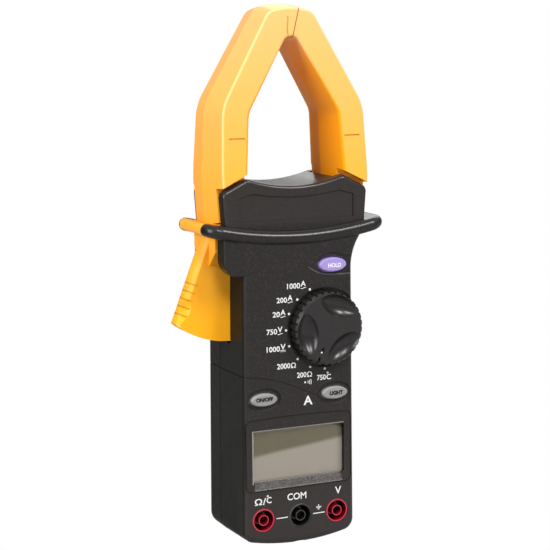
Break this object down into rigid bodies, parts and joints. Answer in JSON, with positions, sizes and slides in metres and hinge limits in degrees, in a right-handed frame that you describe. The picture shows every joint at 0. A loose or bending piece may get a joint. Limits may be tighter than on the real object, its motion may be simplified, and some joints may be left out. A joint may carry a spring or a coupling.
{
  "type": "clamp meter",
  "caption": "Hand-held clamp meter with spring-closed hinged jaws, trigger, rotary selector, display, three keys, test-lead sockets and battery cover.",
  "frame": {"origin": "on the flat back of the case, on its centre line, level with the centres of the input sockets", "axes": "+X to the user's right when facing the display, +Y backwards out of the flat back, +Z from the sockets up to the jaws"},
  "size_m": [0.0957, 0.0468, 0.242],
  "materials": {
    "black_plastic": "fine spark texture",
    "knob_plastic": "fine satin",
    "yellow_plastic": "satin moulded",
    "grey_plastic": "satin moulded",
    "lavender_plastic": "satin moulded",
    "red_plastic": "satin moulded",
    "white_plastic": "smooth",
    "clear_window": "polished clear plastic",
    "lcd_grey": "polished",
    "core_steel": "laminated and lacquered",
    "copper_wire": "enamelled winding",
    "bright_steel": "zinc plated",
    "brass": "plain",
    "soft_rubber": "soft",
    "board_green": "lacquered board",
    "battery_case": "painted"
  },
  "bodies": {
    "root": {"front_shell": "black_plastic", "rear_shell": "black_plastic", "fixed_jaw_front": "yellow_plastic", "fixed_jaw_rear": "yellow_plastic", "fixed_core": "core_steel", "fixed_coil": "copper_wire", "pivot_pin": "bright_steel", "jaw_spring": "bright_steel", "case_screws": "bright_steel", "board_screws": "bright_steel", "lcd_backlight": "white_plastic", "battery_contacts": "brass", "battery_terminals": "bright_steel", "ohm_contact": "brass", "com_contact": "brass", "volt_contact": "brass", "power_switch": "knob_plastic", "light_switch": "knob_plastic", "hold_switch": "knob_plastic", "ohm_sleeve": "red_plastic", "volt_sleeve": "red_plastic", "com_sleeve": "knob_plastic", "lcd_window": "clear_window", "lcd_glass": "lcd_grey", "zebra_strip": "soft_rubber", "circuit_board": "board_green", "board_chip": "knob_plastic", "buzzer": "knob_plastic", "battery": "battery_case"},
    "moving_jaw": {"moving_jaw_front": "yellow_plastic", "moving_jaw_rear": "yellow_plastic", "moving_core": "core_steel", "moving_coil": "copper_wire"},
    "selector": {"selector_knob": "knob_plastic", "pointer_dot": "white_plastic", "switch_rotor": "white_plastic", "detent_balls": "bright_steel", "rotor_wipers": "brass"},
    "power_key": {"power_button": "grey_plastic"},
    "light_key": {"light_button": "grey_plastic"},
    "hold_key": {"hold_button": "lavender_plastic"},
    "cover": {"battery_cover": "black_plastic", "cover_screw": "bright_steel"}
  },
  "joints": [
    {"name": "jaw_hinge", "type": "hinge", "parent": "root", "child": "moving_jaw", "pos_m": [-0.023, -0.0205, 0.128], "axis": [0, -1, 0], "range_deg": [0, 30], "stiffness_Nm_per_rad": 0.5, "springref_deg": -51.57, "deforming": ["jaw_spring"]},
    {"name": "selector_turn", "type": "hinge", "parent": "root", "child": "selector", "pos_m": [0.01234, -0.0205, 0.0854], "axis": [0, -1, 0], "range_deg": [-135, 22.5]},
    {"name": "power_press", "type": "slide", "parent": "root", "child": "power_key", "axis": [0, 1, 0], "range_m": [0, 0.001], "stiffness_N_per_m": 400, "springref_m": -0.0005},
    {"name": "light_press", "type": "slide", "parent": "root", "child": "light_key", "axis": [0, 1, 0], "range_m": [0, 0.001], "stiffness_N_per_m": 400, "springref_m": -0.0005},
    {"name": "hold_press", "type": "slide", "parent": "root", "child": "hold_key", "axis": [0, 1, 0], "range_m": [0, 0.001], "stiffness_N_per_m": 400, "springref_m": -0.0005},
    {"name": "cover_lift", "type": "slide", "parent": "root", "child": "cover", "axis": [0, 1, 0], "range_m": [0, 0.012]}
  ]
}
